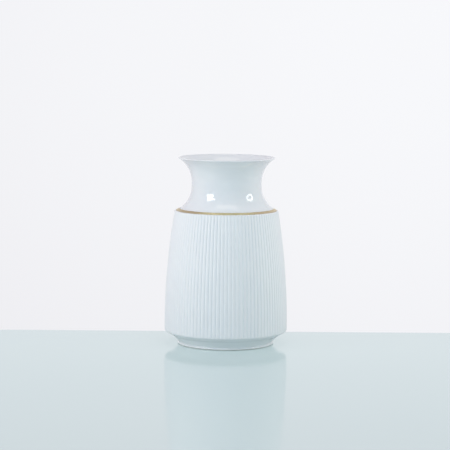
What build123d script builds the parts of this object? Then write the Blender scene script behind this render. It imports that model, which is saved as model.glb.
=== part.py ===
from build123d import *

import os
from math import cos, pi, sin, sqrt

from build123d.topology import SkipClean

# A porcelain vase: a reeded barrel body on a coved foot, a waisted neck with a flared lip, and a
# gilded line round the shoulder. It is symmetric about the Z axis and stands on Z = 0.
# All sizes are millimetres. Heights are measured from the table, radii from the axis.

HEIGHT = 200.0

# Neck: two hollow curves that meet in a short straight throat
THROAT_RADIUS = 37.6
THROAT_LOW = 168.9
THROAT_HIGH = 174.3
LOWER_FLARE = 28.0  # radius of the curve from the throat down to the shoulder
UPPER_FLARE = 28.7  # radius of the curve from the throat up to the lip
NECK_WALL = 2.5

# Lip: the flare thins out to a rounded edge
RIM_RADIUS = 52.2
LIP_UNDERSIDE = 198.6  # the edge's rounding starts here outside
LIP_EDGE = 199.4  # height of the widest point
LIP_CROWN_INSET = 1.0  # the highest point lies this far inside the edge
LIP_INSIDE = 199.3  # the edge's rounding ends here inside

# Body: one long barrel curve over the crests of the reeds
BODY_RADIUS = 65.8
WIDEST_HEIGHT = 20.0
BARREL_CURVE = 738.0
BODY_WALL = 3.6
SHOULDER_ROUNDING = 1.0
INNER_SHOULDER_ROUNDING = 5.0
LOWER_EDGE_ROUNDING = 3.3
REED_COUNT = 100
REED_DEPTH = 0.6
REED_CLEARANCE = 0.05  # the envelope that rounds off the reeds' ends stands this far outside them

# Base: a hollow cove down to a beaded foot ring, with a shallow recess underneath
COVE_CENTRE = (79.0, -18.8)
COVE_CURVE = 35.5
FOOT_HEIGHT = 2.4  # the cove starts here
BEAD_CENTRE = (50.5, 1.1)
BEAD_CURVE = 1.0
RECESS_RADIUS = 48.2
RECESS_HEIGHT = 3.8
RECESS_ROUNDING = 1.5
FLOOR_HEIGHT = 8.0
FLOOR_CURVE = 19.0  # radius of the curve between the inside floor and the wall

# Joints between the sections: the neck is luted to the body just above the gold, the body to the
# base in the cove
NECK_JOINT = 146.0
BODY_JOINT = 10.5

# Coats
GLAZE = 0.3
GLAZE_LINE = 0.8  # below this height the foot is wiped bare
GILDING = 0.12
GOLD_LOW = 143.6
GOLD_HIGH = 145.5

LOWER_FLARE_CENTRE = (THROAT_RADIUS + LOWER_FLARE, THROAT_LOW)
UPPER_FLARE_CENTRE = (THROAT_RADIUS + UPPER_FLARE, THROAT_HIGH)
INNER_THROAT_RADIUS = THROAT_RADIUS - NECK_WALL
INNER_FLARE_CENTRE = (INNER_THROAT_RADIUS + UPPER_FLARE, THROAT_HIGH)


# Outlines are drawn as (radius, height) and turned about the axis.
# A depth counts down from the surface of the glaze: 0 is the glaze itself, GLAZE is the porcelain
# under it, and -GILDING is the top of the gold.


def turned(outline):
    return revolve(Plane.XZ * outline, Axis.Z)


def disc_at(centre, radius):
    return Pos(*centre) * Circle(radius)


def corner_nearest(outline, radius, height):
    return outline.vertices().sort_by_distance(Vector(radius, height, 0))[0]


def barrel_radius(height):
    """Radius over the crests of the reeds."""
    drop = BARREL_CURVE - sqrt(BARREL_CURVE**2 - (height - WIDEST_HEIGHT) ** 2)
    return BODY_RADIUS - drop


def barrel_outline(inset, bottom, top):
    """Everything within the barrel curve, moved in by an inset, between two heights."""
    heights = (bottom, (bottom + top) / 2, top)
    curve = ThreePointArc(*[(barrel_radius(height) - inset, height) for height in heights])
    return make_face(curve + Polyline(curve @ 1, (0, top), (0, bottom), curve @ 0))


def hollow_point(centre, curve, height):
    """The point of a hollow curve at a height. Its centre lies outside the wall."""
    return (centre[0] - sqrt(curve**2 - (height - centre[1]) ** 2), height)


def upper_flare(centre, curve, top):
    """The hollow curve from the throat up to a height."""
    heights = (THROAT_HIGH, (THROAT_HIGH + top) / 2, top)
    return ThreePointArc(*[hollow_point(centre, curve, height) for height in heights])


def lip_edge(depth):
    """The rounded edge of the lip, from the underside of the flare over to the inside."""
    underside = hollow_point(UPPER_FLARE_CENTRE, UPPER_FLARE + depth, LIP_UNDERSIDE)
    widest = (RIM_RADIUS - depth, LIP_EDGE)
    crown = (RIM_RADIUS - LIP_CROWN_INSET - depth, HEIGHT - depth)
    inside = hollow_point(INNER_FLARE_CENTRE, UPPER_FLARE - depth, LIP_INSIDE)
    outward = (LIP_UNDERSIDE - UPPER_FLARE_CENTRE[1], UPPER_FLARE_CENTRE[0] - underside[0])
    inward = (INNER_FLARE_CENTRE[1] - LIP_INSIDE, inside[0] - INNER_FLARE_CENTRE[0])
    return Spline(underside, widest, crown, inside, tangents=(outward, (0, 1), (-1, 0), inward))


def neck_outside(depth):
    """The neck, filled in to the axis, from its joint up to the lip."""
    flare = upper_flare(UPPER_FLARE_CENTRE, UPPER_FLARE + depth, LIP_UNDERSIDE)
    lip = lip_edge(depth)
    throat_low = (THROAT_RADIUS - depth, THROAT_LOW)
    closing = Polyline(lip @ 1, (0, LIP_INSIDE), (0, THROAT_LOW), throat_low, flare @ 0)
    upper = make_face(flare + lip + closing)
    lower = barrel_outline(0, NECK_JOINT, THROAT_LOW) - disc_at(LOWER_FLARE_CENTRE, LOWER_FLARE + depth)
    return turned(upper + lower)


def reeded_section(height, depth):
    """A level cut through the reeds: shallow arcs that meet in narrow grooves."""
    crest = barrel_radius(height) - depth
    groove = crest - REED_DEPTH
    half_pitch = pi / REED_COUNT
    arcs = []
    for reed in range(REED_COUNT):
        middle = 2 * half_pitch * reed
        corners = ((groove, middle - half_pitch), (crest, middle), (groove, middle + half_pitch))
        arcs.append(ThreePointArc(*[(radius * cos(turn), radius * sin(turn)) for radius, turn in corners]))
    return Pos(0, 0, height) * make_face(Wire(arcs))


def reeds_filled_in(depth):
    """The reeds run a little past both ends of the body."""
    overrun = 1.0
    heights = (BODY_JOINT - overrun, 50, 80, 110, NECK_JOINT + overrun)
    return loft([reeded_section(height, depth) for height in heights])


def body_envelope(depth):
    """The smooth shape that carries the shoulder and rounds off both ends of the reeds."""
    outline = barrel_outline(depth - REED_CLEARANCE, BODY_JOINT, NECK_JOINT)
    outline -= disc_at(LOWER_FLARE_CENTRE, LOWER_FLARE + depth)
    outline -= disc_at(COVE_CENTRE, COVE_CURVE + depth)
    shoulder = corner_nearest(outline, barrel_radius(GOLD_LOW), GOLD_LOW)
    outline = fillet(shoulder, SHOULDER_ROUNDING - depth)
    lower_edge = corner_nearest(outline, BODY_RADIUS, BODY_JOINT)
    return turned(fillet(lower_edge, LOWER_EDGE_ROUNDING - depth))


def body_outside(depth):
    return reeds_filled_in(depth) & body_envelope(depth)


def base_outside(depth):
    """The base, filled in to the axis, from the table up to its joint."""
    cove_heights = (FOOT_HEIGHT, (FOOT_HEIGHT + BODY_JOINT) / 2, BODY_JOINT)
    cove = ThreePointArc(*[hollow_point(COVE_CENTRE, COVE_CURVE + depth, height) for height in cove_heights])
    foot = (cove @ 0).X
    outline = make_face(cove + Polyline(cove @ 1, (0, BODY_JOINT), (0, 0), (foot, 0), cove @ 0))
    return turned(outline + disc_at(BEAD_CENTRE, BEAD_CURVE - depth))


def inside(depth):
    """The air inside the vase, up to the level where the lip's rounding ends."""
    lower = barrel_outline(BODY_WALL - depth, FLOOR_HEIGHT - depth, THROAT_LOW)
    lower -= disc_at(LOWER_FLARE_CENTRE, LOWER_FLARE + NECK_WALL - depth)
    floor_corner = corner_nearest(lower, BODY_RADIUS, FLOOR_HEIGHT)
    lower = fillet(floor_corner, FLOOR_CURVE + depth)
    shoulder = corner_nearest(lower, barrel_radius(GOLD_LOW), GOLD_LOW)
    lower = fillet(shoulder, INNER_SHOULDER_ROUNDING + depth)
    flare = upper_flare(INNER_FLARE_CENTRE, UPPER_FLARE - depth, LIP_INSIDE)
    throat_low = (INNER_THROAT_RADIUS + depth, THROAT_LOW)
    closing = Polyline(flare @ 1, (0, LIP_INSIDE), (0, THROAT_LOW), throat_low, flare @ 0)
    return turned(lower + make_face(flare + closing))


def recess(depth):
    """The air under the base."""
    radius = RECESS_RADIUS + depth
    top = RECESS_HEIGHT + depth
    outline = make_face(Polyline((0, 0), (radius, 0), (radius, top), (0, top), (0, 0)))
    return turned(fillet(corner_nearest(outline, radius, top), RECESS_ROUNDING + depth))


def slab(bottom, top):
    """Everything between two heights."""
    return Pos(0, 0, (bottom + top) / 2) * Cylinder(1.5 * BODY_RADIUS, top - bottom)


def glaze_outside(body_glazed, body_bare):
    """One coat from the lip down to the foot, over the reeds too."""
    on_neck = neck_outside(0) - neck_outside(GLAZE)
    on_body = body_glazed - body_bare
    on_base = base_outside(0) - base_outside(GLAZE) - slab(0, GLAZE_LINE)
    with SkipClean():  # merging the faces across the joints would leave an invalid solid
        return on_body + on_base + on_neck


def glaze_in_recess():
    return recess(GLAZE) - recess(0) - slab(0, GLAZE_LINE)


def gold_on_shoulder(body_glazed):
    """Gilding on the shoulder, from just above the tips of the reeds to just below the neck's joint."""
    gilded = body_outside(-GILDING) - body_glazed
    return gilded & slab(GOLD_LOW, GOLD_HIGH)


def build():
    body_glazed = body_outside(0)
    body_bare = body_outside(GLAZE)
    hollow = inside(GLAZE)
    return {
        "ribbed_body": body_bare - hollow,
        "neck": neck_outside(GLAZE) - hollow,
        "base": base_outside(GLAZE) - hollow - recess(GLAZE),
        "outer_glaze": glaze_outside(body_glazed, body_bare),
        "inner_glaze": hollow - inside(0),
        "recess_glaze": glaze_in_recess(),
        "gold_band": gold_on_shoulder(body_glazed),
    }


os.makedirs("parts", exist_ok=True)
for node, shape in build().items():
    export_step(shape, f"parts/{node}.step")
    print(f"{node}: {len(shape.solids())} solid, {shape.volume / 1000:.1f} cm3")
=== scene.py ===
import math

import bmesh
import bpy
import numpy as np
from mathutils import Matrix, Vector


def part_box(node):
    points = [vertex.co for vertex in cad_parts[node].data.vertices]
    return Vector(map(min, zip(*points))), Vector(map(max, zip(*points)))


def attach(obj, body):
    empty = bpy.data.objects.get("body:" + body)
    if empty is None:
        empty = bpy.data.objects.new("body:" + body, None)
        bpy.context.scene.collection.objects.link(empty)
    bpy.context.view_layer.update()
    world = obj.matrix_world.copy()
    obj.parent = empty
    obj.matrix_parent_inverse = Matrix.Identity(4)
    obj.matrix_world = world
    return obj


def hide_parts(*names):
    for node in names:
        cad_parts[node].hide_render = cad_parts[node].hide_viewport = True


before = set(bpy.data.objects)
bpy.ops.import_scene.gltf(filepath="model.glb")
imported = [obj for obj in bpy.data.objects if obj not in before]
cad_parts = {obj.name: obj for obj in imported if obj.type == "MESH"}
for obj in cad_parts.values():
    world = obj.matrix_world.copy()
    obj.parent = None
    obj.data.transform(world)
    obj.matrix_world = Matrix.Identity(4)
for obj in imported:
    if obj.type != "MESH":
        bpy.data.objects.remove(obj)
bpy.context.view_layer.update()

# A porcelain vase: reeded body, waisted neck, coved foot and a gilded shoulder line. Metres.

MM = 0.001

# Sizes and places that the CAD nodes give
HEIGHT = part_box("outer_glaze")[1].z
BODY_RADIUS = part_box("outer_glaze")[1].x
GLAZE_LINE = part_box("outer_glaze")[0].z
GLAZE = BODY_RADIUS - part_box("ribbed_body")[1].x
RIM_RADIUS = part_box("neck")[1].x + GLAZE
NECK_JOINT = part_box("neck")[0].z
BODY_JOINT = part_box("base")[1].z
GOLD_LOW, GOLD_HIGH = (corner.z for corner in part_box("gold_band"))
LIP_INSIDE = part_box("inner_glaze")[1].z
FLOOR_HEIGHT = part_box("inner_glaze")[0].z + GLAZE
RECESS_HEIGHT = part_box("recess_glaze")[1].z - GLAZE
RECESS_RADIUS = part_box("recess_glaze")[1].x - GLAZE

# Curves of the outline, as in the CAD source. A centre is (radius, height).
THROAT_RADIUS = 37.6 * MM
THROAT_LOW = 168.9 * MM
THROAT_HIGH = 174.3 * MM
LOWER_FLARE = 28.0 * MM
UPPER_FLARE = 28.7 * MM
NECK_WALL = 2.5 * MM
LIP_UNDERSIDE = 198.6 * MM
LIP_EDGE = 199.4 * MM
LIP_CROWN_INSET = 1.0 * MM
WIDEST_HEIGHT = 20.0 * MM
BARREL_CURVE = 738.0 * MM
BODY_WALL = 3.6 * MM
SHOULDER_ROUNDING = 1.0 * MM
INNER_SHOULDER_ROUNDING = 5.0 * MM
LOWER_EDGE_ROUNDING = 3.3 * MM
COVE_CENTRE = (79.0 * MM, -18.8 * MM)
COVE_CURVE = 35.5 * MM
FOOT_HEIGHT = 2.4 * MM
BEAD_CENTRE = (50.5 * MM, 1.1 * MM)
BEAD_CURVE = 1.0 * MM
RECESS_ROUNDING = 1.5 * MM
FLOOR_CURVE = 19.0 * MM
LOWER_FLARE_CENTRE = (THROAT_RADIUS + LOWER_FLARE, THROAT_LOW)
UPPER_FLARE_CENTRE = (THROAT_RADIUS + UPPER_FLARE, THROAT_HIGH)
INNER_FLARE_CENTRE = (UPPER_FLARE_CENTRE[0] - NECK_WALL, THROAT_HIGH)

# Reeds, gilding and the bare foot
REED_COUNT = 100
REED_DEPTH = 0.6 * MM
REED_SOFTENING = 0.16 * MM  # how softly the reeds meet the smooth shape round them
GILDING = 0.12 * MM
GOLD_WOBBLE = 0.06 * MM
WOBBLE_SEED = 7
GOLD_BEADS = 0.25 * MM  # the brush dips this far down between the tips of the reeds
FOOT_BEVEL = 0.15 * MM

# Fineness of the surfaces
REED_COLUMNS = 10  # to each reed
SMOOTH_COLUMNS = 480
LOWER_FADE = 1.5 * MM  # rows of the reeded wall lie close up to this far above its lower rounding
UPPER_FADE = 1.0 * MM  # and from this far below its shoulder rounding
SHOULDER_TAIL = 0.6 * MM  # to this far above it
SLOPE_STEP = 0.02 * MM  # the wall's slope under the gold is taken this far up and down
SHARP_ANGLE = 50  # edges that turn by more degrees than this are shaded as sharp

# Materials. Scales are in features per metre.
PORCELAIN_COOL = (0.825, 0.865, 0.885)
PORCELAIN_WARM = (0.84, 0.87, 0.885)
POOLED_GLAZE = (0.8, 0.85, 0.872)
SPECK = (0.55, 0.55, 0.52)
# The bare foot's two greys are partly the rim's own kiln-shelf grey and stains, partly painted shade of
# the contact line where the foot meets the table.
BARE_GREY_AND_CONTACT_SHADE = (0.6, 0.58, 0.54)
BARE_STAIN_AND_CONTACT_SHADE = (0.4, 0.38, 0.35)
GOLD_BRIGHT = (0.82, 0.69, 0.42)
GOLD_DEEP = (0.64, 0.53, 0.29)
GOLD_THIN = (0.5, 0.41, 0.25)
MOTTLE_SCALE = 22
SHEEN_SCALE = 60
SPECK_SCALE = 160
PEEL_SCALE = 130
FINE_PEEL_SCALE = 900
STAIN_SCALE = 90
GRAIN_SCALE = 3500
STREAK_SCALE = 500
STREAK_STRETCH = (1, 1, 6)
GLOSS_ROUGHNESS = 0.02
SATIN_ROUGHNESS = 0.4
PEEL_DEPTH = 0.002 * MM
FINE_PEEL_DEPTH = 0.0005 * MM
GRAIN_DEPTH = 0.03 * MM
BRUSH_DEPTH = 0.01 * MM

# Table: its far edge lies just behind the vase
TABLE_WIDTH = 0.95
TABLE_DEPTH = 2.2
TABLE_THICKNESS = 0.02
TABLE_BACK = 0.075
TABLE_LIGHT = (0.31, 0.34, 0.345)
TABLE_DARK = (0.29, 0.325, 0.335)
TABLE_GLOW = (0.19, 0.25, 0.255, 1)
TABLE_SHADE_SCALE = 1.5
TABLE_ROUGHNESS = 0.08

# Light from all round: a level everywhere, and lobes as (axis, sign, sharpness, colour)
AIR_LEVEL = (0.505, 0.465, 0.53)
AIR_LOBES = (
    ("Y", -1, 1, (0.04, 0.19, 0.23)),
    ("X", 1, 1, (0.30, 0.33, 0.32)),
    ("Y", 1, 8, (0.415, 0.46, 0.42)),
)

# Lamps all stand at one distance from the point they face. Azimuth counts in degrees from the
# camera's side, positive to its right. Power is in watts. A lamp that isn't mirrored is left out
# of reflections, and one that isn't diffuse shows only in them.
LIGHT_AIM = Vector((0, 0, 0.17))
LIGHT_DISTANCE = 1.9
AREA_LIGHTS = (
    dict(name="overhead", azimuth=0, elevation=80, size=(1.2, 1.2), power=8.6, colour=(1.0, 0.9, 0.77)),
    dict(
        name="side_bank",
        azimuth=-66,
        elevation=6,
        size=(0.9, 1.3),
        power=15.5,
        colour=(1.0, 0.96, 0.9),
        mirrored=False,
    ),
    dict(
        name="right_fill",
        azimuth=75,
        elevation=5,
        size=(0.8, 1.2),
        power=7.0,
        colour=(1.0, 0.95, 0.72),
        mirrored=False,
    ),
    dict(name="softbox", azimuth=-55, elevation=27, size=(0.76, 0.84), power=18, diffuse=False),
)
RING_AZIMUTH = 81
RING_ELEVATION = 23
RING_OUTSIDE = 0.42
RING_INSIDE = 0.2
RING_STRENGTH = 8.0
RING_SIDES = 64

# Camera: place in metres, lens and sensor in millimetres, shift in sensor widths, turns in degrees
CAMERA_PLACE = (0, -2.08, 0.352)
CAMERA_LENS = 156.4
CAMERA_SENSOR = 36
CAMERA_SHIFT = -0.0031
CAMERA_PITCH = 6.165
CAMERA_ROLL = 0.42


# ---------------------------------------------------------------- outlines, as (radius, height) rows


def barrel_radius(height):
    """Radius over the crests of the reeds."""
    return BODY_RADIUS - BARREL_CURVE + np.sqrt(BARREL_CURVE**2 - (height - WIDEST_HEIGHT) ** 2)


def hollow_radius(centre, curve, height):
    """Radius of a hollow curve, whose centre lies outside the wall."""
    return centre[0] - np.sqrt(curve**2 - (height - centre[1]) ** 2)


def round_radius(centre, curve, height):
    """Radius of a rounded corner, whose centre lies inside the wall."""
    return centre[0] + np.sqrt(np.maximum(curve**2 - (height - centre[1]) ** 2, 0.0))


def hollow_arc(centre, curve, bottom, top, count):
    """Points of a hollow curve between two heights, evenly spaced along it."""
    first, last = (math.asin((height - centre[1]) / curve) for height in (bottom, top))
    turns = np.linspace(first, last, count)
    return np.stack([centre[0] - curve * np.cos(turns), centre[1] + curve * np.sin(turns)], 1)


def corner_arc(centre, curve, start, end, count):
    """Points of an arc between two directions, in degrees from straight outwards."""
    turns = np.radians(np.linspace(start, end, count))
    return np.stack([centre[0] + curve * np.cos(turns), centre[1] + curve * np.sin(turns)], 1)


def hermite(points, directions, count):
    """A smooth curve through points with given directions there, in a number of steps between them."""
    rows = []
    for start, end, leaving, arriving in zip(points[:-1], points[1:], directions[:-1], directions[1:]):
        start, end = np.array(start), np.array(end)
        chord = np.linalg.norm(end - start)
        leaving = np.array(leaving) / np.linalg.norm(leaving) * chord
        arriving = np.array(arriving) / np.linalg.norm(arriving) * chord
        t = np.linspace(0.0, 1.0, count, endpoint=False)[:, None]
        rows.append(
            (2 * t**3 - 3 * t**2 + 1) * start
            + (t**3 - 2 * t**2 + t) * leaving
            + (3 * t**2 - 2 * t**3) * end
            + (t**3 - t**2) * arriving
        )
    return np.concatenate(rows + [np.array(points[-1:])])


def join(*rows):
    """Joins stretches of an outline and drops the points they share."""
    outline = np.concatenate([np.atleast_2d(row) for row in rows])
    steps = np.linalg.norm(np.diff(outline, axis=0), axis=1)
    return outline[np.concatenate([[True], steps > 1e-7])]


def rounding_centre(hollow_centre, hollow_curve, rounding, barrel_inset):
    """Centre of the rounding that touches both a hollow curve and the barrel curve from inside."""
    far = (BODY_RADIUS - BARREL_CURVE, WIDEST_HEIGHT)
    near_reach = hollow_curve + rounding
    far_reach = BARREL_CURVE - barrel_inset - rounding
    gap = math.dist(far, hollow_centre)
    along = (far_reach**2 - near_reach**2 + gap**2) / (2 * gap)
    aside = math.sqrt(far_reach**2 - along**2)
    unit = ((hollow_centre[0] - far[0]) / gap, (hollow_centre[1] - far[1]) / gap)
    side = 1 if hollow_centre[1] < WIDEST_HEIGHT else -1
    return (
        far[0] + along * unit[0] - side * aside * unit[1],
        far[1] + along * unit[1] + side * aside * unit[0],
    )


def touching_height(hollow_centre, hollow_curve, centre, rounding):
    """Height where a rounding meets the hollow curve."""
    share = hollow_curve / (hollow_curve + rounding)
    return hollow_centre[1] + share * (centre[1] - hollow_centre[1])


def lip_outline():
    """The rounded edge of the lip, from the underside of the flare over to the inside."""
    underside = (hollow_radius(UPPER_FLARE_CENTRE, UPPER_FLARE, LIP_UNDERSIDE), LIP_UNDERSIDE)
    widest = (RIM_RADIUS, LIP_EDGE)
    crown = (RIM_RADIUS - LIP_CROWN_INSET, HEIGHT)
    inside = (hollow_radius(INNER_FLARE_CENTRE, UPPER_FLARE, LIP_INSIDE), LIP_INSIDE)
    outward = (LIP_UNDERSIDE - UPPER_FLARE_CENTRE[1], UPPER_FLARE_CENTRE[0] - underside[0])
    inward = (INNER_FLARE_CENTRE[1] - LIP_INSIDE, inside[0] - INNER_FLARE_CENTRE[0])
    return hermite((underside, widest, crown, inside), (outward, (0, 1), (-1, 0), inward), 9)


def neck_outline():
    """The neck from its joint up the outside and over the lip."""
    return join(
        hollow_arc(LOWER_FLARE_CENTRE, LOWER_FLARE, NECK_JOINT, THROAT_LOW, 28),
        hollow_arc(UPPER_FLARE_CENTRE, UPPER_FLARE, THROAT_HIGH, LIP_UNDERSIDE, 32),
        lip_outline(),
    )


def inside_outline(depth):
    """The inside from the lip down to the middle of the floor, at a depth under the glaze."""
    lower_curve = LOWER_FLARE + NECK_WALL - depth
    wall_inset = BODY_WALL - depth
    shoulder = INNER_SHOULDER_ROUNDING + depth
    shoulder_centre = rounding_centre(LOWER_FLARE_CENTRE, lower_curve, shoulder, wall_inset)
    shoulder_top = touching_height(LOWER_FLARE_CENTRE, lower_curve, shoulder_centre, shoulder)
    floor = FLOOR_HEIGHT - depth
    floor_curve = FLOOR_CURVE + depth
    floor_centre_height = floor + floor_curve
    wall_radius = barrel_radius(floor_centre_height) - wall_inset
    floor_centre = (wall_radius - floor_curve, floor_centre_height)
    shoulder_heights = np.linspace(shoulder_top, shoulder_centre[1], 12)
    wall_heights = np.linspace(shoulder_centre[1], floor_centre_height, 26)
    return join(
        hollow_arc(INNER_FLARE_CENTRE, UPPER_FLARE - depth, LIP_INSIDE, THROAT_HIGH, 30),
        hollow_arc(LOWER_FLARE_CENTRE, lower_curve, THROAT_LOW, shoulder_top, 26),
        np.stack([round_radius(shoulder_centre, shoulder, shoulder_heights), shoulder_heights], 1),
        np.stack([barrel_radius(wall_heights) - wall_inset, wall_heights], 1),
        corner_arc(floor_centre, floor_curve, 0, -90, 16),
        np.stack([np.linspace(floor_centre[0], 0, 6), np.full(6, floor)], 1),
    )


def part_of(outline, bottom, top):
    """The stretch of a falling outline between two heights, cut exactly at both."""
    falls = -outline[:, 1]
    within = outline[(falls > -top) & (falls < -bottom)]
    levels = (top, max(bottom, outline[-1, 1]))
    ends = [(np.interp(-level, falls, outline[:, 0]), level) for level in levels]
    return join(ends[0], within, ends[1])


def thinned(outline, step):
    """An outline with fewer points and the same two ends, for a side that nobody sees."""
    return np.concatenate([outline[:-1:step], outline[-1:]])


# ---------------------------------------------------------------- surfaces of revolution


def mesh_object(name, vertices, faces, **attributes):
    """A smooth-shaded object. An attribute gives one value to every vertex."""
    mesh = bpy.data.meshes.new(name)
    mesh.from_pydata(vertices.tolist(), [], faces)
    mesh.validate()
    for attribute, values in attributes.items():
        layer = mesh.attributes.new(attribute, "FLOAT", "POINT")
        layer.data.foreach_set("value", values)
    mesh.shade_smooth()
    mesh.set_sharp_from_angle(angle=math.radians(SHARP_ANGLE))
    piece = bpy.data.objects.new(name, mesh)
    bpy.context.scene.collection.objects.link(piece)
    return piece


def grid_faces(rows, columns, closed):
    """Quads between neighbouring rows of a turned grid. A closed outline wraps round."""
    faces = []
    for row in range(rows if closed else rows - 1):
        above = (row + 1) % rows
        for column in range(columns):
            beside = (column + 1) % columns
            faces.append(
                (
                    row * columns + column,
                    row * columns + beside,
                    above * columns + beside,
                    above * columns + column,
                )
            )
    return faces


def turned_grid(radius, height, turns):
    """Points of a surface given by its radius at every height and turn."""
    return np.stack([radius * np.cos(turns), radius * np.sin(turns), height], 2).reshape(-1, 3)


def smooth_grid(outline):
    """An outline's points at every turn of a smooth surface."""
    turns = np.linspace(0, 2 * np.pi, SMOOTH_COLUMNS, endpoint=False)
    return turned_grid(outline[:, :1], outline[:, 1:] + 0 * turns, turns)


def turned_ring(name, outline):
    """A closed outline turned about the axis."""
    return mesh_object(name, smooth_grid(outline), grid_faces(len(outline), SMOOTH_COLUMNS, True))


def turned_dish(name, outline):
    """An outline that starts and ends on the axis, turned about it."""
    rim = outline[1:-1]
    poles = np.array([[0, 0, outline[0, 1]], [0, 0, outline[-1, 1]]])
    vertices = np.concatenate([smooth_grid(rim), poles])
    faces = grid_faces(len(rim), SMOOTH_COLUMNS, False)
    first_pole, last_pole = len(vertices) - 2, len(vertices) - 1
    last_row = (len(rim) - 1) * SMOOTH_COLUMNS
    for column in range(SMOOTH_COLUMNS):
        beside = (column + 1) % SMOOTH_COLUMNS
        faces.append((first_pole, beside, column))
        faces.append((last_pole, last_row + column, last_row + beside))
    return mesh_object(name, vertices, faces)


# ---------------------------------------------------------------- the reeded wall


def groove_share(turns):
    """How far the surface lies below the crest: 0 on a reed's crest, 1 in the groove beside it."""
    pitch = 2 * np.pi / REED_COUNT
    across = np.abs((turns + pitch / 2) % pitch - pitch / 2) / (pitch / 2)
    half_width = BODY_RADIUS * pitch / 2
    reed_curve = half_width**2 / (2 * REED_DEPTH) + REED_DEPTH / 2
    bend = half_width / reed_curve
    return (1 - np.sqrt(1 - (bend * across) ** 2)) / (1 - math.sqrt(1 - bend**2))


def softer_minimum(first, second, softness):
    """The smaller of two radii, with the corner where they meet rounded off."""
    overlap = np.maximum(softness - np.abs(first - second), 0) / softness
    return np.minimum(first, second) - overlap**2 * softness / 4


LOWER_EDGE_CENTRE = rounding_centre(COVE_CENTRE, COVE_CURVE, LOWER_EDGE_ROUNDING, 0)
LOWER_EDGE_START = touching_height(COVE_CENTRE, COVE_CURVE, LOWER_EDGE_CENTRE, LOWER_EDGE_ROUNDING)
SHOULDER_CENTRE = rounding_centre(LOWER_FLARE_CENTRE, LOWER_FLARE, SHOULDER_ROUNDING, 0)
SHOULDER_END = touching_height(LOWER_FLARE_CENTRE, LOWER_FLARE, SHOULDER_CENTRE, SHOULDER_ROUNDING)


def envelope_radius(height):
    """Radius of the smooth shape that carries the shoulder and rounds off the reeds."""
    stretches = [
        height < LOWER_EDGE_START,
        height < LOWER_EDGE_CENTRE[1],
        height < SHOULDER_CENTRE[1],
        height < SHOULDER_END,
    ]
    radii = [
        hollow_radius(COVE_CENTRE, COVE_CURVE, np.minimum(height, LOWER_EDGE_START)),
        round_radius(LOWER_EDGE_CENTRE, LOWER_EDGE_ROUNDING, height),
        barrel_radius(height),
        round_radius(SHOULDER_CENTRE, SHOULDER_ROUNDING, height),
    ]
    shoulder = hollow_radius(LOWER_FLARE_CENTRE, LOWER_FLARE, np.maximum(height, SHOULDER_END))
    return np.select(stretches, radii, shoulder)


def reeded_radius(turns, height):
    """Radius of the glazed, reeded surface."""
    reeds = barrel_radius(height) - REED_DEPTH * groove_share(turns)
    return softer_minimum(reeds, envelope_radius(height), REED_SOFTENING)


def reed_turns():
    """The turns of the reeded wall's columns."""
    return np.linspace(0, 2 * np.pi, REED_COUNT * REED_COLUMNS, endpoint=False)


def stepped(stops, counts):
    """Heights from the first stop to the last, in a number of steps between each two."""
    stretches = zip(stops, stops[1:], counts)
    rows = [np.linspace(low, high, count, endpoint=False) for low, high, count in stretches]
    return np.concatenate([*rows, stops[-1:]])


def reeded_wall():
    """The body wall: reeds outside, plain inside."""
    turns = reed_turns()
    stops = (
        BODY_JOINT,
        LOWER_EDGE_START,
        LOWER_EDGE_CENTRE[1] + LOWER_FADE,
        SHOULDER_CENTRE[1] - UPPER_FADE,
        SHOULDER_END + SHOULDER_TAIL,
        NECK_JOINT,
    )
    heights = stepped(stops, (3, 13, 15, 25, 7))
    outside = reeded_radius(turns, heights[:, None])
    inner = thinned(part_of(inside_outline(GLAZE), BODY_JOINT, NECK_JOINT), 3)
    inside = np.repeat(inner[:, :1], len(turns), 1)
    levels = np.concatenate([heights, inner[:, 1]])[:, None] + 0 * turns
    vertices = turned_grid(np.concatenate([outside, inside]), levels, turns)
    depth = np.clip((envelope_radius(heights)[:, None] - outside) / REED_DEPTH, 0, 1)
    pooling = np.concatenate([depth.ravel(), np.zeros(inside.size)])
    faces = grid_faces(len(levels), len(turns), True)
    return mesh_object("reeded_wall", vertices, faces, pooling=pooling)


def wobble(turns, rng):
    """A hand's slow waver round the vase: waves of several lengths, about 0.6 in size on average."""
    total = np.zeros_like(turns)
    for waves_per_turn in (5, 9, 17, 31, 53, 83):
        total += rng.uniform(0.2, 0.5) * np.sin(waves_per_turn * turns + rng.uniform(0, 2 * np.pi))
    return total


def gilded_line():
    """Gold brushed on the shoulder just above the tips of the reeds, with slightly uneven edges.

    It lies on the glaze, thins out towards both edges, and its underside is sunk into the glaze.
    """
    turns = reed_turns()
    rng = np.random.default_rng(WOBBLE_SEED)
    across = np.linspace(0, 1, 12)[:, None]
    beads = GOLD_BEADS * (groove_share(turns) - 1)
    low = GOLD_LOW + GOLD_WOBBLE * (wobble(turns, rng) - 1) + beads
    high = GOLD_HIGH + GOLD_WOBBLE * (wobble(turns, rng) - 1)
    heights = low + (high - low) * across
    lift = GILDING * (1 - (2 * across - 1) ** 6)
    rise = reeded_radius(turns, heights + SLOPE_STEP) - reeded_radius(turns, heights - SLOPE_STEP)
    slope = rise / (2 * SLOPE_STEP)
    length = np.sqrt(1 + slope**2)
    radius = reeded_radius(turns, heights)
    top = turned_grid(radius + lift / length, heights - lift * slope / length, turns)
    under = turned_grid(radius - GILDING / length, heights + GILDING * slope / length, turns)
    rows = under.reshape(len(across), -1, 3)[::-1]
    vertices = np.concatenate([top, rows.reshape(-1, 3)])
    faces = grid_faces(2 * len(across), len(turns), True)
    wear = np.concatenate([np.repeat(np.abs(2 * across - 1).ravel(), len(turns)), np.zeros(len(under))])
    return mesh_object("gilded_line", vertices, faces, wear=wear)


# ---------------------------------------------------------------- smooth pieces


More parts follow.
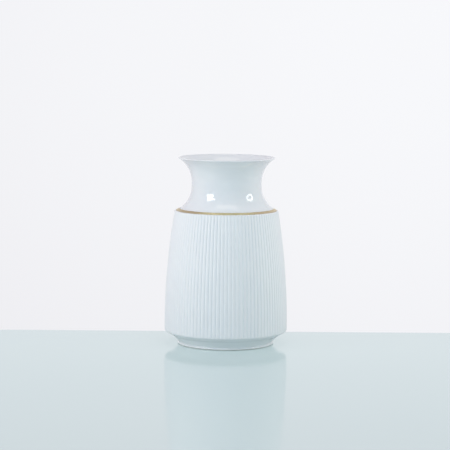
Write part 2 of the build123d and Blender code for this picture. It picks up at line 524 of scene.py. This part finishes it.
def recess_outline(depth):
    """The recess from the middle of its ceiling to the bottom of the foot's inner wall."""
    radius = RECESS_RADIUS + depth
    ceiling = RECESS_HEIGHT + depth
    rounding = RECESS_ROUNDING + depth
    corner = (radius - rounding, ceiling - rounding)
    return join(
        np.stack([np.linspace(0, corner[0], 6), np.full(6, ceiling)], 1),
        corner_arc(corner, rounding, 90, 0, 10),
        (radius, GLAZE_LINE),
    )


def bead_turns(depth):
    """Directions, in degrees, where the foot's bead meets the foot, the glaze line and the cove."""
    curve = BEAD_CURVE - depth
    foot = hollow_radius(COVE_CENTRE, COVE_CURVE + depth, FOOT_HEIGHT)
    cove_end = math.degrees(math.acos((foot - BEAD_CENTRE[0]) / curve))
    glaze_line = math.degrees(math.asin((GLAZE_LINE - BEAD_CENTRE[1]) / curve))
    return -cove_end, glaze_line, cove_end


def coved_base():
    """Floor, cove and the glazed part of the foot."""
    _, glaze_line, cove_end = bead_turns(0)
    outline = join(
        recess_outline(GLAZE),
        corner_arc(BEAD_CENTRE, BEAD_CURVE, glaze_line, cove_end, 10),
        hollow_arc(COVE_CENTRE, COVE_CURVE, FOOT_HEIGHT, BODY_JOINT, 26),
        part_of(inside_outline(GLAZE), 0, BODY_JOINT),
    )
    return turned_dish("coved_base", outline)


def bare_foot_rim():
    """The unglazed rim that the vase stands on."""
    inner = RECESS_RADIUS + GLAZE
    outer = hollow_radius(COVE_CENTRE, COVE_CURVE + GLAZE, FOOT_HEIGHT)
    foot_end, glaze_line, _ = bead_turns(GLAZE)
    outline = join(
        (inner, GLAZE_LINE),
        (inner, FOOT_BEVEL),
        (inner + FOOT_BEVEL, 0),
        (outer - FOOT_BEVEL, 0),
        (outer, FOOT_BEVEL),
        corner_arc(BEAD_CENTRE, BEAD_CURVE - GLAZE, foot_end, glaze_line, 6),
    )
    return turned_ring("bare_foot_rim", outline)


def waisted_neck():
    """The neck's wall, with the lip."""
    inside = part_of(inside_outline(GLAZE), NECK_JOINT, HEIGHT)
    return turned_ring("waisted_neck", join(neck_outline(), inside))


def glaze_lining():
    """The coat of glaze inside, from the lip down to the floor."""
    return turned_dish("glaze_lining", join(thinned(inside_outline(GLAZE), 2)[::-1], inside_outline(0)))


def recess_coat():
    """The coat of glaze under the base."""
    return turned_dish("recess_coat", join(recess_outline(0), recess_outline(GLAZE)[::-1]))


# ---------------------------------------------------------------- materials


def new_material(name):
    """A material, with its nodes, its links and its shader."""
    material = bpy.data.materials.new(name)
    material.use_nodes = True
    nodes = material.node_tree.nodes
    return material, nodes, material.node_tree.links, nodes["Principled BSDF"]


def noise(nodes, links, coordinates, scale, detail, roughness=0.5):
    """Cloudy noise between 0 and 1."""
    texture = nodes.new("ShaderNodeTexNoise")
    texture.inputs["Scale"].default_value = scale
    texture.inputs["Detail"].default_value = detail
    texture.inputs["Roughness"].default_value = roughness
    links.new(coordinates, texture.inputs["Vector"])
    return texture.outputs["Fac"]


def ramp(nodes, links, factor, low, high, from_low=0.35, from_high=0.65):
    """A factor's range stretched to run from low to high."""
    mapped = nodes.new("ShaderNodeMapRange")
    mapped.inputs["From Min"].default_value = from_low
    mapped.inputs["From Max"].default_value = from_high
    mapped.inputs["To Min"].default_value = low
    mapped.inputs["To Max"].default_value = high
    links.new(factor, mapped.inputs["Value"])
    return mapped.outputs["Result"]


def blend_colours(nodes, links, factor, first, second):
    """A mix of two colours, each given as a colour or as a node output."""
    mix = nodes.new("ShaderNodeMix")
    mix.data_type = "RGBA"
    links.new(factor, mix.inputs["Factor"])
    for socket, colour in ((mix.inputs["A"], first), (mix.inputs["B"], second)):
        if isinstance(colour, tuple):
            socket.default_value = (*colour, 1)
        else:
            links.new(colour, socket)
    return mix.outputs["Result"]


def bump(nodes, links, height, distance, normal=None):
    """A normal bent by a height of 0 to 1 times a distance, on top of another normal if given."""
    node = nodes.new("ShaderNodeBump")
    node.inputs["Distance"].default_value = distance
    links.new(height, node.inputs["Height"])
    if normal is not None:
        links.new(normal, node.inputs["Normal"])
    return node.outputs["Normal"]


def glaze_material(name, roughness, pooled=False):
    """Clear glaze over cool white porcelain, with faint mottling, specks and a soft orange peel.

    Pooled glaze is also tinted in the grooves between the reeds.
    """
    material, nodes, links, shader = new_material(name)
    place = nodes.new("ShaderNodeTexCoord").outputs["Object"]
    clouds = ramp(nodes, links, noise(nodes, links, place, MOTTLE_SCALE, 4), 0, 1, 0.2, 0.8)
    colour = blend_colours(nodes, links, clouds, PORCELAIN_COOL, PORCELAIN_WARM)
    if pooled:
        attribute = nodes.new("ShaderNodeAttribute")
        attribute.attribute_name = "pooling"
        share = ramp(nodes, links, attribute.outputs["Fac"], 0, 0.75, 0.1, 1.0)
        colour = blend_colours(nodes, links, share, colour, POOLED_GLAZE)
    specks = nodes.new("ShaderNodeTexVoronoi")
    specks.inputs["Scale"].default_value = SPECK_SCALE
    links.new(place, specks.inputs["Vector"])
    speck = ramp(nodes, links, specks.outputs["Distance"], 1, 0, 0.0, 0.045)
    colour = blend_colours(nodes, links, speck, colour, SPECK)
    links.new(colour, shader.inputs["Base Color"])
    haze = noise(nodes, links, place, SHEEN_SCALE, 3)
    links.new(ramp(nodes, links, haze, roughness * 0.8, roughness * 1.25), shader.inputs["Roughness"])
    peel = bump(nodes, links, noise(nodes, links, place, PEEL_SCALE, 2), PEEL_DEPTH)
    fine = noise(nodes, links, place, FINE_PEEL_SCALE, 2)
    links.new(bump(nodes, links, fine, FINE_PEEL_DEPTH, normal=peel), shader.inputs["Normal"])
    shader.inputs["IOR"].default_value = 1.52
    shader.inputs["Subsurface Weight"].default_value = 0.12
    shader.inputs["Subsurface Radius"].default_value = (1.0, 0.9, 0.8)
    shader.inputs["Subsurface Scale"].default_value = 1.5 * MM
    return material


def bare_porcelain():
    """Unglazed porcelain: matt, with fine grain, and a grey well below the glaze's white that is partly
    its own kiln-shelf grey and stains, partly painted shade of the dark contact line under the foot.
    """
    material, nodes, links, shader = new_material("bare_porcelain")
    place = nodes.new("ShaderNodeTexCoord").outputs["Object"]
    stains = ramp(nodes, links, noise(nodes, links, place, STAIN_SCALE, 5), 0, 1, 0.45, 0.75)
    # Painted shade: the rim's dark grey also stands in for the shadow along the contact line under the
    # foot.
    links.new(blend_colours(nodes, links, stains, BARE_GREY_AND_CONTACT_SHADE, BARE_STAIN_AND_CONTACT_SHADE), shader.inputs["Base Color"])
    grain = noise(nodes, links, place, GRAIN_SCALE, 4, 0.7)
    links.new(ramp(nodes, links, grain, 0.62, 0.85), shader.inputs["Roughness"])
    links.new(bump(nodes, links, grain, GRAIN_DEPTH), shader.inputs["Normal"])
    return material


def gold():
    """Fired gold, burnished by hand: brush streaks, a browner edge where it thins out."""
    material, nodes, links, shader = new_material("gold")
    place = nodes.new("ShaderNodeTexCoord").outputs["Object"]
    stretched = nodes.new("ShaderNodeMapping")
    stretched.inputs["Scale"].default_value = STREAK_STRETCH
    links.new(place, stretched.inputs["Vector"])
    brushing = noise(nodes, links, stretched.outputs["Vector"], STREAK_SCALE, 5)
    streaks = ramp(nodes, links, brushing, 0, 1)
    attribute = nodes.new("ShaderNodeAttribute")
    attribute.attribute_name = "wear"
    thin = ramp(nodes, links, attribute.outputs["Fac"], 0, 1, 0.6, 1.0)
    colour = blend_colours(nodes, links, streaks, GOLD_BRIGHT, GOLD_DEEP)
    links.new(blend_colours(nodes, links, thin, colour, GOLD_THIN), shader.inputs["Base Color"])
    shader.inputs["Metallic"].default_value = 1.0
    links.new(ramp(nodes, links, streaks, 0.24, 0.4, 0, 1), shader.inputs["Roughness"])
    links.new(bump(nodes, links, streaks, BRUSH_DEPTH), shader.inputs["Normal"])
    return material


# ---------------------------------------------------------------- studio


def place_light(light, azimuth, elevation):
    """Puts a lamp at its distance in a direction and turns it to face the vase."""
    turn, rise = math.radians(azimuth), math.radians(elevation)
    outward = Vector((math.sin(turn) * math.cos(rise), -math.cos(turn) * math.cos(rise), math.sin(rise)))
    light.location = LIGHT_AIM + outward * LIGHT_DISTANCE
    light.rotation_euler = (-outward).to_track_quat("-Z", "Y").to_euler()


def area_light(name, azimuth, elevation, size, power, colour=(1, 1, 1), mirrored=True, diffuse=True):
    """A soft rectangular light, which may be kept out of reflections or light only them."""
    data = bpy.data.lights.new(name, "AREA")
    data.shape = "RECTANGLE"
    data.size, data.size_y = size
    data.energy = power
    data.color = colour
    light = bpy.data.objects.new(name, data)
    bpy.context.scene.collection.objects.link(light)
    place_light(light, azimuth, elevation)
    light.visible_glossy = mirrored
    light.visible_diffuse = diffuse


def ring_light():
    """A round soft light with a dark middle, seen only in reflections."""
    turns = np.linspace(0, 2 * np.pi, RING_SIDES, endpoint=False)
    circle = np.stack([np.cos(turns), np.sin(turns), 0 * turns], 1)
    vertices = np.concatenate([circle * RING_OUTSIDE, circle * RING_INSIDE])
    ring = mesh_object("ring_light", vertices, grid_faces(2, RING_SIDES, False))
    material = bpy.data.materials.new("ring_light")
    material.use_nodes = True
    nodes = material.node_tree.nodes
    nodes.clear()
    glow = nodes.new("ShaderNodeEmission")
    glow.inputs["Strength"].default_value = RING_STRENGTH
    output = nodes.new("ShaderNodeOutputMaterial")
    material.node_tree.links.new(glow.outputs["Emission"], output.inputs["Surface"])
    ring.data.materials.append(material)
    place_light(ring, RING_AZIMUTH, RING_ELEVATION)
    ring.visible_camera = False
    ring.visible_diffuse = False


def table_top():
    """A pale glossy table with a faint glow."""
    bm = bmesh.new()
    bmesh.ops.create_cube(bm, size=1)
    for vertex in bm.verts:
        vertex.co.x *= TABLE_WIDTH
        vertex.co.y = TABLE_BACK + (vertex.co.y - 0.5) * TABLE_DEPTH
        vertex.co.z = (vertex.co.z - 0.5) * TABLE_THICKNESS
    mesh = bpy.data.meshes.new("table_top")
    bm.to_mesh(mesh)
    bm.free()
    table = bpy.data.objects.new("table_top", mesh)
    bpy.context.scene.collection.objects.link(table)
    material, nodes, links, shader = new_material("table_top")
    place = nodes.new("ShaderNodeTexCoord").outputs["Object"]
    shade = ramp(nodes, links, noise(nodes, links, place, TABLE_SHADE_SCALE, 2), 0, 1)
    links.new(blend_colours(nodes, links, shade, TABLE_LIGHT, TABLE_DARK), shader.inputs["Base Color"])
    shader.inputs["Roughness"].default_value = TABLE_ROUGHNESS
    shader.inputs["Emission Color"].default_value = TABLE_GLOW
    shader.inputs["Emission Strength"].default_value = 1.0
    table.data.materials.append(material)


def studio_air():
    """Light from all round, stronger along some directions."""
    world = bpy.data.worlds.new("studio")
    bpy.context.scene.world = world
    world.use_nodes = True
    nodes, links = world.node_tree.nodes, world.node_tree.links
    split = nodes.new("ShaderNodeSeparateXYZ")
    links.new(nodes.new("ShaderNodeTexCoord").outputs["Generated"], split.inputs["Vector"])
    total = None
    for axis, sign, sharpness, colour in AIR_LOBES:
        facing = nodes.new("ShaderNodeMath")
        facing.operation = "MULTIPLY"
        facing.use_clamp = True
        facing.inputs[1].default_value = sign
        links.new(split.outputs[axis], facing.inputs[0])
        narrow = nodes.new("ShaderNodeMath")
        narrow.operation = "POWER"
        narrow.inputs[1].default_value = sharpness
        links.new(facing.outputs["Value"], narrow.inputs[0])
        added = nodes.new("ShaderNodeVectorMath")
        added.operation = "MULTIPLY_ADD"
        links.new(narrow.outputs["Value"], added.inputs[0])
        added.inputs[1].default_value = colour
        added.inputs[2].default_value = AIR_LEVEL
        if total is not None:
            links.new(total, added.inputs[2])
        total = added.outputs["Vector"]
    links.new(total, nodes["Background"].inputs["Color"])


def camera():
    """A long lens above the rim's level, looking slightly down."""
    data = bpy.data.cameras.new("camera")
    data.lens = CAMERA_LENS
    data.sensor_width = CAMERA_SENSOR
    data.shift_x = CAMERA_SHIFT
    view = bpy.data.objects.new("camera", data)
    view.location = CAMERA_PLACE
    pitch = Matrix.Rotation(math.radians(90 - CAMERA_PITCH), 3, "X")
    roll = Matrix.Rotation(math.radians(CAMERA_ROLL), 3, "Z")
    view.rotation_euler = (pitch @ roll).to_euler()
    bpy.context.scene.collection.objects.link(view)
    bpy.context.scene.camera = view


neck = waisted_neck()
wall = reeded_wall()
base = coved_base()
rim = bare_foot_rim()
lining = glaze_lining()
recess = recess_coat()
line = gilded_line()

glossy = glaze_material("glossy_glaze", GLOSS_ROUGHNESS)
satin = glaze_material("reed_glaze", SATIN_ROUGHNESS, pooled=True)
pieces = (
    (neck, glossy, "outer_glaze", ("neck", "outer_glaze")),
    (wall, satin, "outer_glaze", ("ribbed_body", "outer_glaze")),
    (base, glossy, "outer_glaze", ("base", "outer_glaze")),
    (rim, bare_porcelain(), "bare_porcelain", ("base",)),
    (lining, glossy, "inner_glaze", ("inner_glaze",)),
    (recess, glossy, "recess_glaze", ("recess_glaze",)),
    (line, gold(), "gilding", ("gold_band",)),
)
for piece, material, slot, nodes_replaced in pieces:
    piece.data.materials.append(material)
    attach(piece, "root")
    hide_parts(*nodes_replaced)

table_top()
studio_air()
for settings in AREA_LIGHTS:
    area_light(**settings)
ring_light()
camera()
bpy.context.scene.view_settings.view_transform = "Standard"
